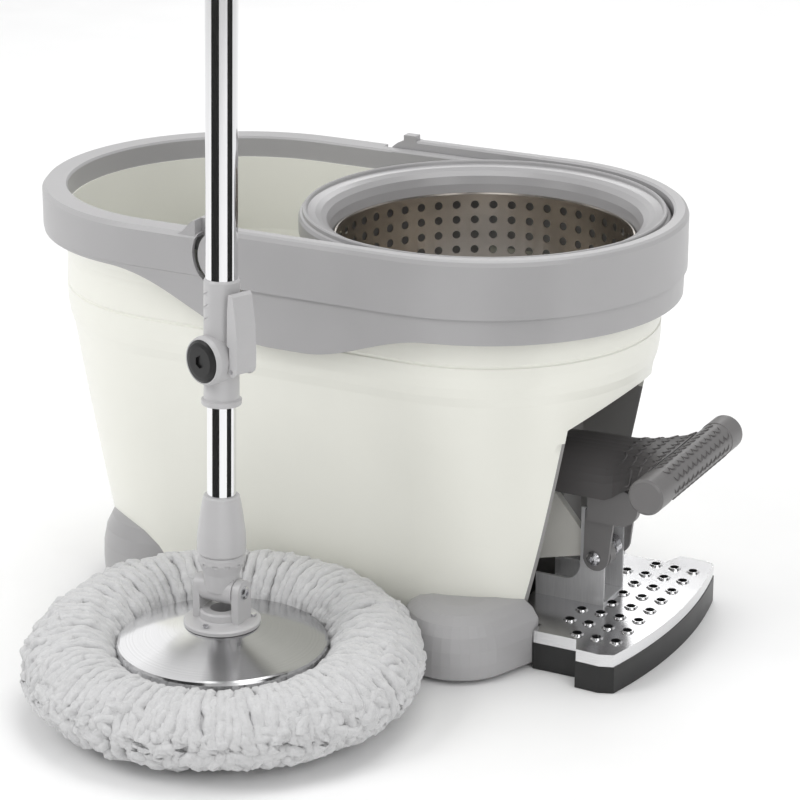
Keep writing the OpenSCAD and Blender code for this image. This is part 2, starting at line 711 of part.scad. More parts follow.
module pedal_roll() color(dark_grey) {
    end = roll_len / 2;
    smooth = 20;
    translate([roll_x, end, roll_z]) rotate([90, 0, 0]) rotate_extrude() polygon([
        [0, 0], [roll_r - 1.6, 0], [roll_r, 1.6], [roll_r, smooth], [roll_r - 0.5, smooth + 0.5],
        [roll_r - 0.5, roll_len - smooth - 0.5], [roll_r, roll_len - smooth], [roll_r, roll_len - 1.6],
        [roll_r - 1.6, roll_len], [0, roll_len]]);
}

sector_from = mesh_angle - 5 * 360 / sector_teeth;
sector_to = mesh_angle + pedal_travel + 4 * 360 / sector_teeth;

module sector_gear() color(white) difference() {
    translate([px, -6.5, pedal_pivot_z]) rotate([90, 0, 0]) linear_extrude(6) {
        gear_outline(sector_teeth, gear_module, sector_from, sector_to, 0.2);
        difference() {
            intersection() {
                circle(r = sector_r - 1.2 * gear_module, $fn = 180);
                polygon([[0, 0], 130 * [cos(sector_from - 1), sin(sector_from - 1)],
                    150 * [cos(mesh_angle + 12), sin(mesh_angle + 12)],
                    130 * [cos(sector_to + 1), sin(sector_to + 1)]]);
            }
            circle(r = 11);
        }
    }
    translate([px - 5, -20, pedal_pivot_z + 1]) cube([10, 40, 60]);
}

// ---------------------------------------------------------------- gear shafts and basket

module layshaft() color(steel) cross_pin(bx, layshaft_z, layshaft_r, -25, 25);

module layshaft_pinion() color(white) difference() {
    translate([bx, -6.5, layshaft_z]) rotate([90, 0, 0]) linear_extrude(6)
        union() {
            // half a tooth out of step, so that its gaps face the sector's teeth
            rotate(180 - (180 - mesh_angle) + 180 / pinion_teeth)
                gear_outline(pinion_teeth, gear_module, 0, 360, 0.2);
            circle(r = pinion_r - 1.15 * gear_module);
        }
    cross_pin(bx, layshaft_z, layshaft_r, -30, 30);
}

crown_face = spindle_gear_r + 3;
module crown_gear() color(white) translate([bx, crown_face, layshaft_z]) rotate([-90, 0, 0]) difference() {
    union() {
        cylinder(r = crown_r + 2.6, h = 3.4);
        cylinder(r = 8, h = 6.4);
        for (i = [0:crown_teeth - 1])
            rotate([0, 0, (i + 0.5) * 360 / crown_teeth]) translate([crown_r, 0, 0.5])
                rotate([90, 0, 90]) linear_extrude(4, center = true)
                    polygon([[-1.5, 0], [1.5, 0], [0.8, -4.2], [-0.8, -4.2]]);
    }
    translate([0, 0, -8]) cylinder(r = layshaft_r, h = 20);
}

module spindle() color(steel) translate([bx, 0, spindle_bottom])
    cylinder(r = spindle_r, h = basket_floor + 24 - spindle_bottom);

module spindle_pinion() color(white) translate([bx, 0, spindle_bottom]) difference() {
    union() {
        cylinder(r = spindle_gear_r - 1.8, h = 10.4);
        for (i = [0:spindle_teeth - 1])
            rotate([0, 0, 90 + i * 360 / spindle_teeth]) linear_extrude(10.4)
                polygon([[spindle_gear_r - 2.4, -1.5], [spindle_gear_r, -1.1], [spindle_gear_r + 1.3, -0.6],
                         [spindle_gear_r + 1.3, 0.6], [spindle_gear_r, 1.1], [spindle_gear_r - 2.4, 1.5]]);
    }
    translate([0, 0, -1]) cylinder(r = spindle_r, h = 20);
}

clutch_z = basket_floor - 9;
module clutch_hub() color(dark_grey) translate([bx, 0, clutch_z]) difference() {
    union() {
        cylinder(r = 10.5, h = 7.5);
        for (i = [0:2]) rotate([0, 0, i * 120]) translate([9.5, -2, 0]) cube([3.2, 4, 7.5]);
    }
    translate([0, 0, -1]) cylinder(r = spindle_r, h = 20);
}

module clutch_cup() color(dark_grey) translate([bx, 0, clutch_z]) difference() {
    cylinder(r = 18, h = basket_floor - clutch_z);
    translate([0, 0, -1]) cylinder(r = 13.5, h = basket_floor - clutch_z);
    translate([0, 0, -1]) cylinder(r = spindle_r + turn_gap, h = 20);
    for (i = [0:11]) rotate([0, 0, i * 30]) translate([13, -1, -1]) cube([2, 2, basket_floor - clutch_z]);
}

module spin_basket() color(steel) translate([bx, 0, 0]) difference() {
    rotate_extrude() polygon([
        [spindle_r + 3, basket_floor], [basket_r - 6, basket_floor], [basket_r - 1.8, basket_floor + 1.8],
        [basket_r, basket_floor + 6], [basket_r, basket_top - 3], [basket_r + 0.9, basket_top - 2.2],
        [basket_r + 1.2, basket_top - 1], [basket_r + 0.4, basket_top], [basket_r - 0.7, basket_top],
        [basket_r - basket_sheet, basket_top - 1.2], [basket_r - basket_sheet, basket_floor + 6.6],
        [basket_r - 2.5, basket_floor + 2.5], [basket_r - 6.4, basket_floor + basket_sheet],
        [spindle_r + 3, basket_floor + basket_sheet]]);
    row_pitch = (basket_depth - 12) / (drain_rows - 0.2);
    for (row = [0:drain_rows - 1], i = [0:drain_count - 1])
        translate([0, 0, basket_top - 9 - row * row_pitch]) rotate([0, 90, i * 360 / drain_count])
            translate([0, 0, basket_r - 4]) cylinder(r = drain_d / 2, h = 8, $fn = 24);
    for (ring = [52, 66, 80], i = [0:23])
        rotate([0, 0, i * 15]) translate([ring, 0, basket_floor - 1]) cylinder(r = drain_d / 2, h = 4, $fn = 24);
}

module basket_hub() color(grey) translate([bx, 0, basket_floor + basket_sheet]) difference() {
    union() {
        rotate_extrude() polygon([
            [0, 0], [44, 0], [44, 2.5], [40, 5], [24, 8], [18, 14], [15, 26], [13.5, 30], [0, 31]]);
        for (i = [0:5]) rotate([0, 0, i * 60]) translate([0, -1.5, 0]) cube([32, 3, 13]);
    }
    translate([0, 0, -1]) cylinder(r = spindle_r + turn_gap, h = 25);
}

// ---------------------------------------------------------------- mop

module at_mop() translate([mop_x, mop_y, 0]) children();
module at_pole() translate([mop_x, mop_y, tilt_z]) rotate([-lean, 0, 0]) translate([0, 0, -tilt_z]) children();

module mop_fibres() color(white) at_mop() rotate_extrude() polygon([
    [24, 0], [fibre_r - 14, 0], [fibre_r - 4, 4], [fibre_r, 14], [fibre_r - 3, 25], [fibre_r - 14, 37],
    [fibre_r - 30, 46], [fibre_r - 46, fibre_h], [plate_r + 4, fibre_h - 0.5], [plate_r + 1, fibre_h - 4],
    [plate_r + 0.6, disc_bottom], [24, disc_bottom]]);

module at_plate_screws() for (i = [0:2]) rotate([0, 0, i * 120 + 30]) translate([21, 0, 0]) children();

module mop_disc() color(light_grey) at_mop() difference() {
    union() {
        translate([0, 0, disc_bottom]) cylinder(r = plate_r, h = 4);
        translate([0, 0, disc_bottom + 4]) tube(plate_r - 3, plate_r - 6, 2);
        translate([0, 0, disc_bottom + 4]) cylinder(r = 23, h = hub_z - 1.4 - disc_bottom - 4);
    }
    translate([0, 0, disc_bottom - 1]) cylinder(r = 17, h = 15);
    at_plate_screws() translate([0, 0, hub_z - 9]) cylinder(r = 1.3, h = 20);
}

module mop_plate() color(steel) at_mop() difference() {
    rotate_extrude() polygon([
        [8, hub_z - 1.2], [24, hub_z - 1.2], [plate_r - 2.6, plate_rim_z - 1.2],
        [plate_r - 1.2, plate_rim_z - 2.6], [plate_r - 1.2, disc_bottom + 4], [plate_r, disc_bottom + 4],
        [plate_r, plate_rim_z - 2.4], [plate_r - 0.8, plate_rim_z - 0.7], [plate_r - 2.4, plate_rim_z],
        [24.2, hub_z], [8, hub_z]]);
    at_plate_screws() translate([0, 0, hub_z - 9]) cylinder(r = 1.3, h = 20);
}

ear_in = 12.4;
ear_out = 17.6;
module mop_clevis() color(light_grey) at_mop() difference() {
    union() {
        translate([0, 0, hub_z]) rotate_extrude() polygon([
            [8, 0], [26, 0], [26, 2.2], [24.5, 3.2], [16.5, 4.2], [15, 5], [15, 9.5], [13.8, 10.6], [8, 10.6]]);
        for (s = [-1, 1]) translate([s * (ear_in + ear_out) / 2, 0, 0]) {
            translate([-(ear_out - ear_in) / 2, -8.5, hub_z + 2]) cube([ear_out - ear_in, 17, tilt_z - hub_z - 2]);
            translate([0, 0, tilt_z]) rotate([0, 90, 0]) cylinder(r = 8.5, h = ear_out - ear_in, center = true);
        }
    }
    translate([-30, 0, tilt_z]) rotate([0, 90, 0]) cylinder(r = 2.5, h = 60);
    at_plate_screws() translate([0, 0, hub_z - 1]) cylinder(r = 1.3, h = 20);
}

module plate_screws() color(steel) at_mop() at_plate_screws() {
    translate([0, 0, hub_z - 8.5]) cylinder(r = 1.3, h = 13);
    translate([0, 0, hub_z + 4.2]) cylinder(r = 2, h = 1.4);
}

module tilt_pin() color(steel) at_mop() translate([0, 0, tilt_z]) rotate([0, 90, 0]) {
    cylinder(r = 2.5, h = 2 * ear_out, center = true);
    translate([0, 0, ear_out]) difference() {
        rotate_extrude() polygon([[0, 0], [4.6, 0], [4.4, 1.2], [3, 2], [0, 2.2]]);
        translate([0, 0, 1]) cylinder(r = 1.8, h = 2, $fn = 6);
    }
    translate([0, 0, -ear_out - 1.6]) cylinder(r = 4.4, h = 1.6, $fn = 6);
}

// Knuckle between the ears, with the lower cone of the swivel
module tilt_knuckle() color(light_grey) at_pole() difference() {
    union() {
        translate([0, 0, tilt_z]) rotate([0, 90, 0]) cylinder(r = 9.4, h = 2 * (ear_in - 0.3), center = true);
        intersection() {
            translate([0, 0, tilt_z]) rotate_extrude() polygon([
                [0, 0], [11, 0], [12, 8.5], [12.5, 12], [15.6, 20], [15.9, 23.5], [15.2, 25.3], [0, 25.3]]);
            translate([-30, -30, tilt_z]) cube(60);
        }
    }
    translate([-30, 0, tilt_z]) rotate([0, 90, 0]) cylinder(r = 2.5 + turn_gap, h = 60);
    // the clevis's ears swing past the cone
    for (s = [-1, 1]) translate([s * (ear_in - 0.3 + 10), 0, tilt_z]) rotate([0, 90, 0])
        cylinder(r = 9.6, h = 20, center = true);
    for (i = [0:11]) rotate([0, 0, i * 30 + 15]) translate([16, 0, socket_seam - 6])
        rotate([0, -14, 0]) cube([2.4, 3.6, 2.6], center = true);
    translate([0, 0, socket_seam - 9]) cylinder(r = 6 + turn_gap, h = 12);
}

module pole_socket() color(light_grey) at_pole() difference() {
    translate([0, 0, socket_seam]) rotate_extrude() polygon([
        [0, 0.1], [15.4, 0.1], [16.4, 1.4], [16.5, 8], [16.2, 14], [14.6, 26], [13, 36], [12.2, 40],
        [11.4, 41], [0, 41]]);
    translate([0, 0, socket_seam + 12]) cylinder(r = lower_r, h = 60);
    translate([0, 0, socket_seam - 1]) cylinder(r = 6, h = 20);
}

// Pin that joins the socket to the knuckle, and on which the pole turns
module swivel_ring() color(steel) at_pole() {
    translate([0, 0, socket_seam - 8.6]) cylinder(r = 6, h = 20.6);
}

module lower_tube() color(steel) at_pole()
    translate([0, 0, socket_seam + 12]) tube(lower_r, lower_r - tube_wall, socket_top - socket_seam - 12 + lower_len);

tube_top = socket_top + lower_len;
module tube_bush() color(white) at_pole() translate([0, 0, tube_top - 24]) {
    cylinder(r = lower_r - tube_wall, h = 24);
    translate([0, 0, 24]) cylinder(r = lower_r, h = 2.4);
}

module upper_tube() color(steel) at_pole()
    translate([0, 0, upper_z]) tube(upper_r, upper_in, upper_len);

lever_turn = boss_turn + 90;
module clamp_body() color(light_grey) at_pole() difference() {
    union() {
        translate([0, 0, clamp_z]) rotate_extrude() polygon([
            [0, 0], [sleeve_r + 1.2, 0], [sleeve_r + 1.6, 0.8], [sleeve_r + 1.6, 3.4], [sleeve_r, 4.4],
            [sleeve_r, clamp_h - 1.4], [sleeve_r - 0.8, clamp_h], [0, clamp_h]]);
        // round boss for the clamping screw
        rotate([0, 0, boss_turn]) translate([0, 0, clamp_z + 32]) rotate([0, 90, 0])
            rotate_extrude() polygon([[0, 0], [16.4, 0], [16.4, 14.5], [15.2, 17.5], [14.4, 17.5], [14.4, 16],
                                      [0, 16]]);
        // cheeks that hold the lever's pin
        rotate([0, 0, lever_turn]) for (s = [-1, 1]) translate([0, s * 5.2, lever_axis_z]) {
            translate([4, -1.2, -2.8]) cube([lever_axis_r - 4, 2.4, 5.6]);
            translate([lever_axis_r, 1.2, 0]) rotate([90, 0, 0]) cylinder(r = 2.8, h = 2.4);
        }
    }
    translate([0, 0, clamp_z - 1]) cylinder(r = lower_r + 0.1, h = clamp_h + 5);
    translate([0, 0, upper_z]) cylinder(r = upper_r, h = clamp_h + 5);
    // raised spiral ribs are parted by cuts on the sleeve's front
    for (k = [0:2]) rotate([0, 0, boss_turn - 20]) translate([sleeve_r + 3.2, 0, clamp_z + 58 + k * 8.5])
        rotate([28, 0, 0]) cube([8, 30, 2], center = true);
    rotate([0, 0, lever_turn]) translate([lever_axis_r, 0, lever_axis_z]) rotate([90, 0, 0]) {
        cylinder(r = 1.6, h = 40, center = true);
        // relief in the boss for the lever's round ends
        for (s = [-1, 1]) translate([0, 0, s * 7.65]) cylinder(r = 4, h = 2.3, center = true);
    }
}

module clamp_cap() color(black) at_pole() rotate([0, 0, boss_turn]) translate([16, 0, clamp_z + 32])
    rotate([0, 90, 0]) difference() {
        rotate_extrude() polygon([[0, 0], [cap_r, 0], [cap_r, 1.6], [cap_r - 1.4, 2.8], [cap_r - 4, 3.2], [0, 3.2]]);
        translate([0, 0, 1.6]) cylinder(r = 4.4, h = 3, $fn = 6);
    }

module clamp_pin() color(steel) at_pole() rotate([0, 0, lever_turn])
    translate([lever_axis_r, 0, lever_axis_z]) rotate([90, 0, 0]) cylinder(r = 1.6, h = 17, center = true);

// Quick-release lever: two cheeks round the pin, a cam lobe and a thumb plate
module clamp_lever() color(light_grey) at_pole() rotate([0, 0, lever_turn])
    translate([lever_axis_r, 0, lever_axis_z]) difference() {
        union() {
            for (s = [-1, 1]) translate([0, s * 7.6, 0]) {
                rotate([90, 0, 0]) cylinder(r = 3.6, h = 1.8, center = true);
                translate([-1.8, -0.9, 0]) cube([6.4, 1.8, 20]);
            }
            rotate([90, 0, 0]) linear_extrude(17, center = true) polygon([
                [-4.2, 17], [-4, 40], [-3, 51], [-0.6, 52], [1.2, 50], [4.6, 30], [5.6, 12], [5.4, 2],
                [4.6, -1], [3.3, -1], [3.2, 8], [1.6, 14]]);
        }
        rotate([90, 0, 0]) cylinder(r = 1.6 + turn_gap, h = 40, center = true);
    }

grip_len = 130;
upper_top = upper_z + upper_len;
module pole_grip() color(grey) at_pole() difference() {
    translate([0, 0, upper_top - grip_len]) rotate_extrude() polygon([
        [0, 0], [upper_r + 1.4, 0], [upper_r + 2.4, 1.4], [upper_r + 3, 30], [upper_r + 3.6, 70],
        [upper_r + 3, grip_len - 10], [upper_r + 3.4, grip_len - 2], [upper_r + 2.6, grip_len], [0, grip_len]]);
    translate([0, 0, upper_top - grip_len - 1]) cylinder(r = upper_r, h = grip_len + 2);
}

module hanging_cap() color(grey) at_pole() translate([0, 0, upper_top]) difference() {
    union() {
        translate([0, 0, -14]) cylinder(r = upper_in, h = 14.5);
        rotate_extrude() polygon([[0, 0], [upper_r + 2.6, 0], [upper_r + 2.6, 4], [upper_r, 9], [0, 11]]);
        translate([0, 4, 14]) rotate([90, 0, 0]) cylinder(r = 9, h = 8);
    }
    translate([0, 10, 15]) rotate([90, 0, 0]) cylinder(r = 4.5, h = 20);
}

bucket_shell();
rim_collar();
basket_cover();
splash_guard();
pedal_housing();
foot_front_right();
foot_rear_right();
foot_front_left();
foot_rear_left();
foot_pads();
handle_pins();
stand_base();
tread_plate();
pedal_bracket();
pedal_bolt();
pedal_spring();
gearbox_frame();
spindle_bush();
stand_screws();
carry_handle();
pedal_frame();
pedal_hood();
pedal_roll();
sector_gear();
layshaft();
layshaft_pinion();
crown_gear();
spindle();
spindle_pinion();
clutch_hub();
spin_basket();
basket_hub();
clutch_cup();
mop_fibres();
mop_disc();
mop_plate();
mop_clevis();
plate_screws();
tilt_knuckle();
tilt_pin();
pole_socket();
lower_tube();
swivel_ring();
tube_bush();
upper_tube();
clamp_body();
clamp_cap();
clamp_pin();
pole_grip();
hanging_cap();
clamp_lever();
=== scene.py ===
import json
import math

import bpy
import numpy as np
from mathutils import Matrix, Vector


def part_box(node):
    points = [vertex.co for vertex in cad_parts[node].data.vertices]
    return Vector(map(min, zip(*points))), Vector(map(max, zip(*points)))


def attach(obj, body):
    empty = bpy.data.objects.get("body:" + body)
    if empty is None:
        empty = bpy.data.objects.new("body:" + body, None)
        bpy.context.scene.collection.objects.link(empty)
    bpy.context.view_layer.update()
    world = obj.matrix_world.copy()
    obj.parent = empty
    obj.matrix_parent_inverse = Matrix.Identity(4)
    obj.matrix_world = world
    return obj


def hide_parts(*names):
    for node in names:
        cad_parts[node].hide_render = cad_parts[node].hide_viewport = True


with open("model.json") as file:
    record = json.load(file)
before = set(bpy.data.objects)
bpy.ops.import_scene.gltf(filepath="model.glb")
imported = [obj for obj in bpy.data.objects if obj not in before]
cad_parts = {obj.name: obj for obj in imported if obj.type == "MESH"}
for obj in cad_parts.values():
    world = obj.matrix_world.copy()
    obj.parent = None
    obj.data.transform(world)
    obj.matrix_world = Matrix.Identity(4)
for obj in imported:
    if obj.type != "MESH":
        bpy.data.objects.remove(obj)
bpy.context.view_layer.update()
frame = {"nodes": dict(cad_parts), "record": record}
nodes = frame["nodes"]
rng = np.random.default_rng(7)

# camera: its place in metres, turn and downward tilt in degrees, focal length in millimetres
view = {"place": (0.958, -1.760, 0.852), "azimuth": 27.7, "down": 19.45, "lens": 130.5}


def makeCamera():
    # the view direction is the turn from +Y towards -X, then the tilt below the horizon
    print("stage: camera")
    camera = bpy.data.objects.new("camera", bpy.data.cameras.new("camera"))
    bpy.context.scene.collection.objects.link(camera)
    turn, down = math.radians(view["azimuth"]), math.radians(view["down"])
    forward = Vector((-math.sin(turn) * math.cos(down), math.cos(turn) * math.cos(down), -math.sin(down)))
    camera.location = view["place"]
    camera.rotation_euler = forward.to_track_quat("-Z", "Y").to_euler()
    camera.data.lens = view["lens"]
    camera.data.clip_end = 60
    bpy.context.scene.camera = camera


# floor and lights: each lamp has a name, a place, a size and a power; each screen spans two angles
# round the pole, at a radius, up to a height
studio = {
    "floor": (0.93, 0.93, 0.93), "floorSize": 14.0,
    "sky": 0.92, "skyStrength": 0.72, "lookAt": (0, -0.05, 0.15), "floorDrop": 0.0004, "screenSteps": 17,
    "room": [(0.0, 0.85), (0.055, 0.75), (0.075, 0.05), (0.225, 0.05), (0.265, 1.0), (0.375, 1.0),
             (0.405, 0.05), (0.53, 0.05), (0.58, 0.55), (0.79, 0.5), (0.805, 0.16), (0.83, 0.16),
             (0.85, 1.0), (0.95, 1.0)],
    "screens": [(-137, -76, 0.27, 1.2), (-18, 22, 0.27, 1.2)],
    "lamps": [
        ("keyLamp", (-1.5, -1.9, 2.3), 1.5, 26.0),
        ("fillLamp", (2.2, -1.4, 1.7), 1.6, 12.0),
        ("topLamp", (0.2, 0.3, 2.8), 1.8, 22.0),
        ("backLamp", (-0.8, 2.3, 1.9), 1.4, 14.0),
    ],
}


def makeStudio():
    # a square floor just under the feet, and round lamps that all face the middle of the bucket
    print("stage: floor and lights")
    half = studio["floorSize"] / 2
    mesh = bpy.data.meshes.new("floor")
    mesh.from_pydata([(-half, -half, 0), (half, -half, 0), (half, half, 0), (-half, half, 0)], [], [(0, 1, 2, 3)])
    floor = bpy.data.objects.new("floor", mesh)
    bpy.context.scene.collection.objects.link(floor)
    floor.location.z = -studio["floorDrop"]
    mesh.materials.append(paint("floorPaint", studio["floor"], 0.75, spread=0.01, grain=30, bump=0.02))
    for name, place, size, power in studio["lamps"]:
        lamp = bpy.data.lights.new(name, "AREA")
        lamp.shape = "DISK"
        lamp.size = size
        lamp.energy = power
        light = bpy.data.objects.new(name, lamp)
        bpy.context.scene.collection.objects.link(light)
        light.location = place
        light.rotation_euler = (Vector(studio["lookAt"]) - Vector(place)).to_track_quat("-Z", "Y").to_euler()
    makeSky()
    makeScreens()
    bpy.context.scene.view_settings.view_transform = "Standard"


def makeScreens():
    # dark upright arcs round the pole, seen only in polished metal, give it its upright bands
    low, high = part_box("mop_plate")
    centre = (low + high) / 2
    material = paint("screenPaint", (0.015, 0.015, 0.015), 0.9)
    for number, (start, stop, radius, height) in enumerate(studio["screens"]):
        steps = studio["screenSteps"]
        a = np.radians(np.linspace(start, stop, steps))
        edge = np.stack([centre.x + radius * np.cos(a), centre.y + radius * np.sin(a)], -1)
        points = np.concatenate([np.c_[edge, np.zeros(steps)], np.c_[edge, np.full(steps, height)]])
        i = np.arange(steps - 1)
        screen = addMesh(f"screen{number}", points, np.stack([i, i + 1, i + steps + 1, i + steps], -1).tolist())
        screen.data.materials.append(material)
        screen.visible_camera = False
        screen.visible_diffuse = False
        screen.visible_shadow = False
        screen.visible_transmission = False


def makeSky():
    # an even white room; shiny metal sees its brightness change with the angle round the upright axis
    world = bpy.data.worlds.new("room")
    bpy.context.scene.world = world
    world.use_nodes = True
    tree = world.node_tree
    tree.nodes.clear()
    out = tree.nodes.new("ShaderNodeOutputWorld")
    plain = tree.nodes.new("ShaderNodeBackground")
    plain.inputs["Color"].default_value = (studio["sky"],) * 3 + (1,)
    plain.inputs["Strength"].default_value = studio["skyStrength"]
    screens = tree.nodes.new("ShaderNodeBackground")
    mix = tree.nodes.new("ShaderNodeMixShader")
    path = tree.nodes.new("ShaderNodeLightPath")
    coord = tree.nodes.new("ShaderNodeTexCoord")
    split = tree.nodes.new("ShaderNodeSeparateXYZ")
    angle = tree.nodes.new("ShaderNodeMath")
    angle.operation = "ARCTAN2"
    turn = tree.nodes.new("ShaderNodeMapRange")
    turn.inputs["From Min"].default_value = -math.pi
    turn.inputs["From Max"].default_value = math.pi
    ramp = tree.nodes.new("ShaderNodeValToRGB")
    link = tree.links.new
    link(coord.outputs["Generated"], split.inputs[0])
    link(split.outputs["Y"], angle.inputs[0])
    link(split.outputs["X"], angle.inputs[1])
    link(angle.outputs[0], turn.inputs["Value"])
    link(turn.outputs[0], ramp.inputs["Fac"])
    link(ramp.outputs["Color"], screens.inputs["Color"])
    link(path.outputs["Is Glossy Ray"], mix.inputs[0])
    link(plain.outputs[0], mix.inputs[1])
    link(screens.outputs[0], mix.inputs[2])
    link(mix.outputs[0], out.inputs[0])
    while len(ramp.color_ramp.elements) < len(studio["room"]):
        ramp.color_ramp.elements.new(0.5)
    for element, (place, value) in zip(ramp.color_ramp.elements, studio["room"]):
        element.position = place
        element.color = (value, value, value, 1)


def newMaterial(name):
    # a material with its main shader and the object's own coordinates
    material = bpy.data.materials.new(name)
    material.use_nodes = True
    tree = material.node_tree
    shader = tree.nodes["Principled BSDF"]
    coord = tree.nodes.new("ShaderNodeTexCoord")
    return material, tree, shader, coord.outputs["Object"]


def noise(tree, where, scale, detail=3.0):
    # soft random values from 0 to 1, scale of them to a metre
    texture = tree.nodes.new("ShaderNodeTexNoise")
    texture.inputs["Scale"].default_value = scale
    texture.inputs["Detail"].default_value = detail
    tree.links.new(where, texture.inputs["Vector"])
    return texture.outputs["Fac"]


def rampOf(tree, factor, stops):
    # colours mixed in a straight line between the stops (place, colour)
    ramp = tree.nodes.new("ShaderNodeValToRGB")
    while len(ramp.color_ramp.elements) < len(stops):
        ramp.color_ramp.elements.new(0.5)
    for element, (place, color) in zip(ramp.color_ramp.elements, stops):
        element.position = place
        element.color = (*color, 1)
    tree.links.new(factor, ramp.inputs["Fac"])
    return ramp.outputs["Color"]


def shades(color, spread):
    # the colour made darker and lighter by the same share
    return [tuple(max(0.0, min(1.0, c * k)) for c in color) for k in (1 - spread, 1 + spread)]


def rangeOf(tree, factor, low, high):
    # 0 to 1 stretched to low to high
    spread = tree.nodes.new("ShaderNodeMapRange")
    spread.inputs["To Min"].default_value = low
    spread.inputs["To Max"].default_value = high
    tree.links.new(factor, spread.inputs["Value"])
    return spread.outputs[0]


def addBump(tree, shader, height, strength, distance):
    # height as fine relief, distance metres deep
    bump = tree.nodes.new("ShaderNodeBump")
    bump.inputs["Strength"].default_value = strength
    bump.inputs["Distance"].default_value = distance
    tree.links.new(height, bump.inputs["Height"])
    tree.links.new(bump.outputs[0], shader.inputs["Normal"])


def paint(name, color, roughness, spread=0.03, grain=900, bump=0.12, coat=0.0):
    # moulded plastic: slow changes of shade, a fine moulded grain and uneven gloss
    material, tree, shader, where = newMaterial(name)
    low, high = shades(color, spread)
    tree.links.new(rampOf(tree, noise(tree, where, 9), [(0.35, low), (0.65, high)]), shader.inputs["Base Color"])
    tree.links.new(rangeOf(tree, noise(tree, where, 34, 5), roughness - 0.05, roughness + 0.06),
                   shader.inputs["Roughness"])
    addBump(tree, shader, noise(tree, where, grain, 2), bump, 0.0002)
    if coat:
        shader.inputs["Coat Weight"].default_value = coat
        shader.inputs["Coat Roughness"].default_value = 0.2
    return material


def metal(name, color, roughness, stretch=(1, 1, 1), scale=60, bump=0.05, spread=0.05, metallic=1.0):
    # rolled or drawn metal: fine lines along one direction, with smudges in the gloss
    material, tree, shader, where = newMaterial(name)
    shader.inputs["Metallic"].default_value = metallic
    mapping = tree.nodes.new("ShaderNodeMapping")
    mapping.inputs["Scale"].default_value = stretch
    tree.links.new(where, mapping.inputs["Vector"])
    lines = noise(tree, mapping.outputs[0], scale, 4)
    low, high = shades(color, spread)
    tree.links.new(rampOf(tree, lines, [(0.3, low), (0.7, high)]), shader.inputs["Base Color"])
    tree.links.new(rangeOf(tree, noise(tree, where, 21, 4), roughness * 0.75, roughness * 1.3),
                   shader.inputs["Roughness"])
    addBump(tree, shader, lines, bump, 0.0001)
    return material


def turned(name, color, roughness, centre, bump=0.06, paintedReflection=None):
    # spun metal: fine rings round an upright axis through centre; when a list of (share of a turn, brightness) is
    # given, a painted reflection multiplies the colour by a brightness set by the angle round that axis
    material, tree, shader, where = newMaterial(name)
    shader.inputs["Metallic"].default_value = 1.0
    mapping = tree.nodes.new("ShaderNodeMapping")
    mapping.inputs["Location"].default_value = (-centre[0], -centre[1], 0)
    tree.links.new(where, mapping.inputs["Vector"])
    split = tree.nodes.new("ShaderNodeSeparateXYZ")
    tree.links.new(mapping.outputs[0], split.inputs[0])
    length = tree.nodes.new("ShaderNodeVectorMath")
    length.operation = "LENGTH"
    flat = tree.nodes.new("ShaderNodeCombineXYZ")
    tree.links.new(split.outputs["X"], flat.inputs[0])
    tree.links.new(split.outputs["Y"], flat.inputs[1])
    tree.links.new(flat.outputs[0], length.inputs[0])
    ring = tree.nodes.new("ShaderNodeCombineXYZ")
    tree.links.new(length.outputs["Value"], ring.inputs[0])
    rings = noise(tree, ring.outputs[0], 900, 3)
    low, high = shades(color, 0.06)
    shade = rampOf(tree, rings, [(0.3, low), (0.7, high)])
    # painted reflection: the rings' colour is made darker by angle round the axis, standing in for the room
    # reflected in the plate
    if paintedReflection:
        # share of a turn round the axis: arctangent of y over x, from -180 to 180 degrees
        angle = tree.nodes.new("ShaderNodeMath")
        angle.operation = "ARCTAN2"
        tree.links.new(split.outputs["Y"], angle.inputs[0])
        tree.links.new(split.outputs["X"], angle.inputs[1])
        share = tree.nodes.new("ShaderNodeMapRange")
        share.inputs["From Min"].default_value = -math.pi
        share.inputs["From Max"].default_value = math.pi
        tree.links.new(angle.outputs[0], share.inputs["Value"])
        mix = tree.nodes.new("ShaderNodeMix")
        mix.data_type = "RGBA"
        mix.blend_type = "MULTIPLY"
        mix.inputs["Factor"].default_value = 1.0
        tree.links.new(shade, mix.inputs[6])
        tree.links.new(rampOf(tree, share.outputs[0], [(p, (v, v, v)) for p, v in paintedReflection]), mix.inputs[7])
        shade = mix.outputs[2]
    tree.links.new(shade, shader.inputs["Base Color"])
    tree.links.new(rangeOf(tree, noise(tree, where, 25, 4), roughness * 0.8, roughness * 1.25),
                   shader.inputs["Roughness"])
    addBump(tree, shader, rings, bump, 0.0001)
    return material


def yarn(name, color):
    # chenille: a soft white pile with short fibres, and a little shade between tufts
    material, tree, shader, where = newMaterial(name)
    low, high = shades(color, 0.07)
    tree.links.new(rampOf(tree, noise(tree, where, 160, 5), [(0.25, low), (0.7, high)]),
                   shader.inputs["Base Color"])
    shader.inputs["Roughness"].default_value = 0.95
    shader.inputs["Sheen Weight"].default_value = 0.55
    shader.inputs["Sheen Roughness"].default_value = 0.6
    shader.inputs["Specular IOR Level"].default_value = 0.15
    addBump(tree, shader, noise(tree, where, 700, 8), 0.7, 0.0012)
    return material


finish = {
    "cover": (0.33, 0.325, 0.33), "housing": (0.27, 0.265, 0.26), "frame": (0.19, 0.185, 0.185),
    "roll": (0.16, 0.155, 0.155),
    "cream": (0.86, 0.86, 0.79), "grey": (0.40, 0.395, 0.40), "lightGrey": (0.50, 0.495, 0.50),
    "darkGrey": (0.105, 0.10, 0.10), "black": (0.012, 0.012, 0.012), "yarn": (0.60, 0.60, 0.605),
}


def nodeAxis(node):
    # middle of the node's box
    low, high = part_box(node)
    return (low + high) / 2


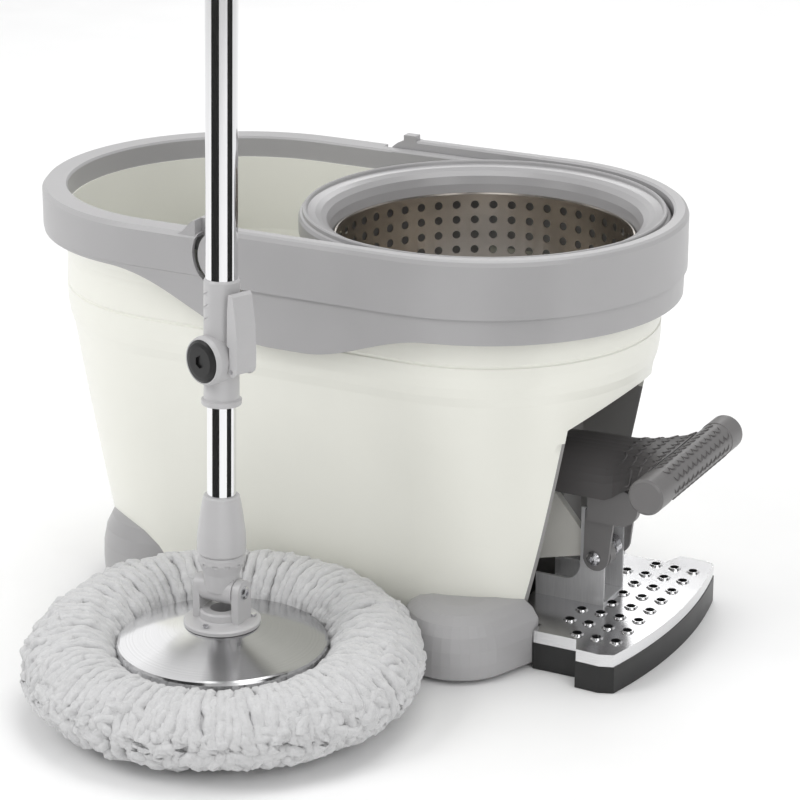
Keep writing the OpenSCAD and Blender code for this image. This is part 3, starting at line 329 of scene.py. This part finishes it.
# painted reflection of the spun plate, multiplied into its colour: (share of a turn, brightness) from the -X side
# round
paintedPlateReflection = [(0.0, 1.0), (0.18, 1.0), (0.236, 0.74), (0.3, 0.72), (0.322, 0.42), (0.34, 0.42), (0.356, 0.7),
              (0.39, 0.62), (0.5, 0.55), (0.78, 0.5), (0.889, 0.7), (0.944, 1.0)]


def dressNodes():
    # every node takes its slot's material, or its own where one is listed
    print("stage: materials of the frame's nodes")
    steel = (0.80, 0.80, 0.81)
    made = {
        "body_plastic": paint("bodyPlastic", finish["cream"], 0.36, spread=0.012, coat=0.25),
        "grey_plastic": paint("greyPlastic", finish["grey"], 0.36, coat=0.1),
        "light_plastic": paint("lightPlastic", finish["lightGrey"], 0.34, coat=0.1),
        "dark_plastic": paint("darkPlastic", finish["darkGrey"], 0.38, spread=0.06, grain=600, bump=0.25),
        "black_plastic": paint("blackPlastic", finish["black"], 0.35, spread=0.1),
        "brushed_steel": metal("brushedSteel", steel, 0.2, stretch=(1, 14, 14), scale=120),
        "basket_steel": turned("basketSteel", (0.62, 0.58, 0.53), 0.24, nodeAxis("spin_basket")),
        "chromed_tube": metal("chromedTube", (0.86, 0.86, 0.87), 0.05, stretch=(20, 20, 1), scale=40, bump=0.01,
                              spread=0.02),
        "fastener_steel": metal("fastenerSteel", (0.7, 0.7, 0.72), 0.25, scale=500),
        "nylon": paint("naturalNylon", (0.80, 0.79, 0.74), 0.4),
        "rubber": paint("padRubber", (0.03, 0.03, 0.03), 0.8, grain=1500, bump=0.4),
        "yarn": yarn("chenille", finish["yarn"]),
    }
    own = {
        # the plate's colour carries a painted reflection: its brightness is set by angle round its own axis
        "mop_plate": turned("plateSteel", (0.88, 0.88, 0.89), 0.15, nodeAxis("mop_plate"), paintedReflection=paintedPlateReflection),
        "pedal_bracket": metal("bracketSteel", (0.82, 0.82, 0.83), 0.34, stretch=(14, 14, 1), metallic=0.55),
        "pedal_frame": paint("framePlastic", finish["frame"], 0.4),
        "pedal_roll": paint("rollPlastic", finish["roll"], 0.38, grain=600, bump=0.25),
        "basket_cover": paint("coverPlastic", finish["cover"], 0.3, coat=0.15),
        "pedal_housing": paint("housingPlastic", finish["housing"], 0.4),
    }
    for part in frame["record"]["subparts"]:
        data = nodes[part["node"]].data
        data.materials.clear()
        data.materials.append(own.get(part["node"], made[part["material_slot"]]))
    return made


# mop head's ring of chenille: its section (radius, height) in millimetres, and its strands

fibre = {
    "section": [(70, 40), (72.5, 47), (77, 54.5), (84, 61), (94, 65.5), (106, 65.5), (117, 60.5), (127, 50),
                (131.5, 38), (129.5, 28), (121, 19.5), (108, 12.5), (94, 7), (82, 3)],
    "start": 72, "fullTurn": 117.7, "fullHeight": 0.12, "meanHeight": 0.9, "fullWidth": 0.09,
    "inner": 96, "outer": 88, "curls": 460, "radius": 4.4,
    "coreSteps": (720, 44), "coreInset": 2.4, "ridge": 1.8, "fuzz": 0.4, "strandRings": 34,
    "curlRings": 7, "curlPlace": (0.42, 0.62, 0.97), "curlLength": (10, 19), "curlBend": 0.9,
    "ringMiddle": 122, "sectionLength": 190,
}


def smoothLine(points, t):
    # point at share t (0 to 1) of a soft curve through the points: cubic steps between neighbours
    pts = np.array(points, float)
    place = np.clip(t, 0, 1) * (len(pts) - 1)
    i = np.clip(place.astype(int), 0, len(pts) - 2)
    f = (place - i)[..., None]
    before, after = pts[np.maximum(i - 1, 0)], pts[np.minimum(i + 2, len(pts) - 1)]
    a, b = pts[i], pts[i + 1]
    return 0.5 * (2 * a + (b - before) * f + (2 * before - 5 * a + 4 * b - after) * f ** 2
                  + (3 * a - before - 3 * b + after) * f ** 3)


def ringPoint(turn, t, lift=0.0):
    # point on the ring: the section's point at share t, carried round by turn, and lifted along its normal
    centre = nodeAxis("mop_plate")
    near = smoothLine(fibre["section"], t)
    ahead = smoothLine(fibre["section"], t + 0.01)
    behind = smoothLine(fibre["section"], t - 0.01)
    along = ahead - behind
    along /= np.maximum(np.linalg.norm(along, axis=-1, keepdims=True), 1e-9)
    r = near[..., 0] - along[..., 1] * lift
    z = near[..., 1] + along[..., 0] * lift
    full = np.cos(turn - math.radians(fibre["fullTurn"]))
    r = fibre["start"] + (r - fibre["start"]) * (1 + fibre["fullWidth"] * full)
    z = z * (fibre["meanHeight"] + fibre["fullHeight"] * full)
    return np.stack([centre.x + r / 1000 * np.cos(turn), centre.y + r / 1000 * np.sin(turn),
                     np.maximum(z, 0.6) / 1000], -1)


def waves(count, size, turns):
    # smooth random waves: a sum of a few sines with random phase, one row for each strand
    s = np.linspace(0, 1, size)[None, :, None]
    speed = rng.uniform(0.6, 1.4, (count, 1, 3)) * np.array([1, 2.1, 4.3]) * turns
    phase = rng.uniform(0, 2 * math.pi, (count, 1, 3))
    return (np.sin(2 * math.pi * speed * s + phase) * np.array([0.6, 0.3, 0.2])).sum(-1)


def tubes(name, paths, radius, sides, rough=0.09):
    # tubes along paths (strand, ring, xyz): each ring is a circle square to its path, with closed ends
    count, rings = paths.shape[:2]
    ahead = np.gradient(paths, axis=1)
    ahead /= np.maximum(np.linalg.norm(ahead, axis=-1, keepdims=True), 1e-9)
    up = np.broadcast_to(np.array([0.13, 0.21, 0.97]), ahead.shape)
    side = np.cross(ahead, up)
    side /= np.maximum(np.linalg.norm(side, axis=-1, keepdims=True), 1e-9)
    over = np.cross(side, ahead)
    a = np.linspace(0, 2 * math.pi, sides, endpoint=False)
    ring = side[:, :, None] * np.cos(a)[:, None] + over[:, :, None] * np.sin(a)[:, None]
    size = radius[:, :, None, None] * (1 + rng.uniform(-rough, rough, (count, rings, sides, 1)))
    points = paths[:, :, None] + ring * size
    index = np.arange(count * rings * sides).reshape(count, rings, sides)
    after = np.roll(index, -1, axis=2)
    quads = np.stack([index[:, :-1], after[:, :-1], after[:, 1:], index[:, 1:]], -1).reshape(-1, 4)
    # each end is closed with its own centre point
    ends = np.concatenate([paths[:, 0] - ahead[:, 0] * 0.0015, paths[:, -1] + ahead[:, -1] * 0.0015])
    first = index.size + np.arange(count)
    startCaps = np.stack([after[:, 0], index[:, 0], np.broadcast_to(first[:, None], (count, sides))], -1)
    endCaps = np.stack([index[:, -1], after[:, -1], np.broadcast_to((first + count)[:, None], (count, sides))], -1)
    faces = quads.tolist() + startCaps.reshape(-1, 3).tolist() + endCaps.reshape(-1, 3).tolist()
    return addMesh(name, np.concatenate([points.reshape(-1, 3), ends]), faces)


def addMesh(name, points, faces):
    # a smooth-shaded mesh that stays just above the floor
    mesh = bpy.data.meshes.new(name)
    points[:, 2] = np.maximum(points[:, 2], 0.0003)
    mesh.from_pydata(points.tolist(), [], faces)
    mesh.polygons.foreach_set("use_smooth", [True] * len(mesh.polygons))
    mesh.update()
    piece = bpy.data.objects.new(name, mesh)
    bpy.context.scene.collection.objects.link(piece)
    return piece


def strandRows(count, rings, start, stop, sway, shift):
    # radial strands: each runs along the ring's section at its own turn, swaying a little to both sides
    turn = (np.arange(count) + shift)[:, None] * 2 * math.pi / count + rng.uniform(-0.016, 0.016, (count, 1))
    first = start + rng.uniform(-0.01, 0.01, (count, 1))
    last = stop + rng.uniform(-0.06, 0.06, (count, 1))
    s = np.linspace(0, 1, rings)[None]
    t = first + (last - first) * s
    turns = turn + waves(count, rings, 1.2) * sway * (0.25 + s)
    lift = waves(count, rings, 1.6) * 1.1 - 1.8 + 1.6 * np.sin(math.pi * s)
    return ringPoint(turns, t, lift)


def makeYarn(made):
    # a core, two layers of radial strands and loose curls, all laid on the same ring
    print("stage: mop head")
    r = fibre["radius"] / 1000
    # core: the whole section with soft radial ridges, so that no gap shows between strands
    around, across = fibre["coreSteps"]
    turn, t = np.meshgrid(np.linspace(0, 2 * math.pi, around, endpoint=False), np.linspace(0, 1, across))
    ridges = np.abs(np.sin(turn * fibre["inner"] / 2)) * fibre["ridge"]
    core = ringPoint(turn, t, ridges - fibre["coreInset"] + rng.uniform(-fibre["fuzz"], fibre["fuzz"], turn.shape))
    index = np.arange(across * around).reshape(across, around)
    nextOne = np.roll(index, -1, axis=1)
    quads = np.stack([index[:-1], index[1:], nextOne[1:], nextOne[:-1]], -1).reshape(-1, 4)
    closing = np.stack([index[-1], index[0], nextOne[0], nextOne[-1]], -1)
    corePiece = addMesh("yarn_core", core.reshape(-1, 3), np.concatenate([quads, closing]).tolist())

    # strands thicken outwards, and swell and thin along their length
    rings = fibre["strandRings"]
    inner = strandRows(fibre["inner"], rings, 0.04, 0.62, 0.02, 0.0)
    grow = 0.72 + 0.4 * np.linspace(0, 1, rings)[None]
    innerPiece = tubes("yarn_inner", inner, r * grow * (1 + 0.16 * waves(fibre["inner"], rings, 5)), 8)
    outer = strandRows(fibre["outer"], rings, 0.36, 0.93, 0.035, 0.5)
    outerPiece = tubes("yarn_outer", outer, r * 1.06 * (1 + 0.18 * waves(fibre["outer"], rings, 5)), 8)

    # curls: short arched loops that lie any way round on the ring's outer half
    count, rings = fibre["curls"], fibre["curlRings"]
    s = np.linspace(0, 1, rings)[None]
    turn0 = rng.uniform(0, 2 * math.pi, (count, 1))
    t0 = rng.triangular(*fibre["curlPlace"], (count, 1))
    lay = rng.uniform(0, 2 * math.pi, (count, 1))
    length = rng.uniform(*fibre["curlLength"], (count, 1))
    bend = rng.uniform(-fibre["curlBend"], fibre["curlBend"], (count, 1))
    u = (s - 0.5) * length
    v = bend * np.sin(math.pi * s) * length * 0.5
    across = u * np.cos(lay) - v * np.sin(lay)
    along = u * np.sin(lay) + v * np.cos(lay)
    curl = ringPoint(turn0 + across / fibre["ringMiddle"], t0 + along / fibre["sectionLength"],
                     rng.uniform(-1.6, 0.6, (count, 1)) + 2.4 * np.sin(math.pi * s))
    thick = r * rng.uniform(0.8, 1.05, (count, 1)) * (1 + 0.14 * waves(count, rings, 3))
    curlPiece = tubes("yarn_curls", curl, thick, 6)
    for piece in (corePiece, innerPiece, outerPiece, curlPiece):
        piece.data.materials.append(made["yarn"])
        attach(piece, "mop_head")
    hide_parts("mop_fibres")


# scaled tread on the pedal's hood and roll, in millimetres

tread = {
    "rows": 4, "pitch": 9.0, "columns": 13, "across": 8.2, "arc": 3.9, "wire": 0.85, "bands": 5, "smooth": 21,
    "firstRow": 14, "halfWidth": 56, "narrower": 9.5, "bandStep": 36, "topBand": 112, "sunk": 0.35,
}


def hoodHeight(x, y, pivot, roll, halfRoll):
    # height of the hood's top over (x, y) in millimetres: an arch whose width, crest and edge change along it
    share = np.maximum(0, (x - pivot[0] - 13) / (roll[0] - 16 - pivot[0]))
    width = 27.6 + (halfRoll - 37.6) * share ** 2.1
    crest = roll[1] + 9 - 3 * (1 - np.minimum(1, (x - pivot[0] + 49) / 60)) ** 2 + 1.6 * share
    edge = pivot[1] + 48 + (roll[1] + 1 - pivot[1] - 48) * share ** 0.8
    c = np.clip(np.abs(y) / width, 0, 0.999) ** (1 / 0.75)
    return edge + (crest - edge) * (1 - c ** 2) ** 0.3


def makeTread(made):
    # small raised bows in rows: each is a part of a circle, laid on the hood's arch or round the roll
    print("stage: pedal tread")
    low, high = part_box("pedal_roll")
    roll = ((low.x + high.x) * 500, (low.z + high.z) * 500)
    rollRadius = (high.x - low.x) * 500
    halfRoll = (high.y - low.y) * 500
    bolt = nodeAxis("pedal_bolt") * 1000
    pivot = (bolt.x, bolt.z)
    swing = np.radians(np.linspace(-75, 75, 7))
    bow = np.stack([np.cos(swing), np.sin(swing)], -1) * tread["arc"]
    # rows on the hood's fan, every other one half a step to the side
    row, column = np.meshgrid(np.arange(tread["rows"]), np.arange(tread["columns"]), indexing="ij")
    x = roll[0] - tread["firstRow"] - row * tread["pitch"]
    y = (column - (tread["columns"] - 1) / 2 + 0.5 * (row % 2)) * tread["across"]
    keep = np.abs(y) < tread["halfWidth"] - row * tread["narrower"]
    x, y = x[keep][:, None] + bow[:, 0], y[keep][:, None] + bow[:, 1]
    fan = np.stack([x, y, hoodHeight(x, y, pivot, roll, halfRoll) + 0.1], -1)
    # bands round the roll between its smooth ends
    count = int((2 * halfRoll - 2 * tread["smooth"]) / tread["across"])
    band, place = np.meshgrid(np.arange(tread["bands"]), np.arange(count), indexing="ij")
    around = np.radians(tread["topBand"] - band.reshape(-1, 1) * tread["bandStep"]) - bow[:, 0] / rollRadius
    y = (place.reshape(-1, 1) - (count - 1) / 2 + 0.25 * (-1) ** band.reshape(-1, 1)) * tread["across"] + bow[:, 1]
    out = rollRadius - tread["sunk"]
    wrap = np.stack([roll[0] + out * np.cos(around), y, roll[1] + out * np.sin(around)], -1)
    paths = np.concatenate([fan, wrap]) / 1000
    thin = tread["wire"] / 1000 * np.sin(np.linspace(0.35, math.pi - 0.35, 7))[None]
    scales = tubes("pedal_scales", paths, np.broadcast_to(thin, paths.shape[:2]), 6, rough=0.0)
    scales.data.materials.append(made["dark_plastic"])
    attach(scales, "pedal")


makeCamera()
makeStudio()
made = dressNodes()
makeYarn(made)
makeTread(made)
